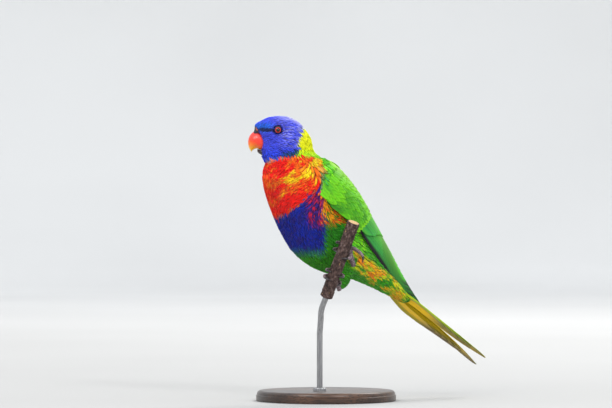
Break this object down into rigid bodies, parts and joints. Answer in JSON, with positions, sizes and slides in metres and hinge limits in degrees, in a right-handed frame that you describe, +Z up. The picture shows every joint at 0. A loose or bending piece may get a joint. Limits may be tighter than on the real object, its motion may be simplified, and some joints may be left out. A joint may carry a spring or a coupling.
{
  "type": "rainbow lorikeet",
  "caption": "Life-size rainbow lorikeet gripping a short cut length of branch, held upright by a plain display stand.",
  "frame": {"origin": "middle of the underside of the display stand's round base", "axes": "+Z up, the bird's bill points along -X, and its breast is turned partly towards -Y"},
  "size_m": [0.2067, 0.147, 0.2444],
  "materials": {
    "head_plumage": "soft, violet-blue with paler streaks",
    "neck_plumage": "soft, lime-yellow collar",
    "breast_plumage": "soft, orange-red streaked with yellow",
    "belly_plumage": "soft, deep blue",
    "green_plumage": "soft, green with yellow patches",
    "wing_plumage": "silky, bright green",
    "tail_plumage": "silky, green above and golden olive below",
    "eye": "clear gloss over an orange-red iris",
    "bill_horn": "satin, coral red to a yellow tip",
    "cere_skin": "matt, dark",
    "foot_skin": "matt, scaly grey",
    "claw_horn": "satin, near black",
    "bark": "rough bark",
    "stand_board": "dark stain with a satin varnish",
    "stand_rod": "brushed, satin"
  },
  "bodies": {
    "root": {"belly": "belly_plumage", "bill_lower": "bill_horn", "bill_upper": "bill_horn", "breast": "breast_plumage", "cere": "cere_skin", "claw_left_inner_back": "claw_horn", "claw_left_inner_front": "claw_horn", "claw_left_outer_back": "claw_horn", "claw_left_outer_front": "claw_horn", "claw_right_inner_back": "claw_horn", "claw_right_inner_front": "claw_horn", "claw_right_outer_back": "claw_horn", "claw_right_outer_front": "claw_horn", "eye_left": "eye", "eye_right": "eye", "foot_left": "foot_skin", "foot_right": "foot_skin", "head": "head_plumage", "neck": "neck_plumage", "perch_branch": "bark", "rump": "green_plumage", "stand_base": "stand_board", "stand_rod": "stand_rod", "tail_middle_left": "tail_plumage", "tail_middle_right": "tail_plumage", "tail_outer_left": "tail_plumage", "tail_outer_right": "tail_plumage", "tarsus_left": "foot_skin", "tarsus_right": "foot_skin", "thigh_left": "green_plumage", "thigh_right": "green_plumage", "toe_left_inner_back": "foot_skin", "toe_left_inner_front": "foot_skin", "toe_left_outer_back": "foot_skin", "toe_left_outer_front": "foot_skin", "toe_right_inner_back": "foot_skin", "toe_right_inner_front": "foot_skin", "toe_right_outer_back": "foot_skin", "toe_right_outer_front": "foot_skin", "wing_left_coverts": "wing_plumage", "wing_left_primaries": "wing_plumage", "wing_left_secondaries": "wing_plumage", "wing_right_coverts": "wing_plumage", "wing_right_primaries": "wing_plumage", "wing_right_secondaries": "wing_plumage"}
  },
  "joints": []
}
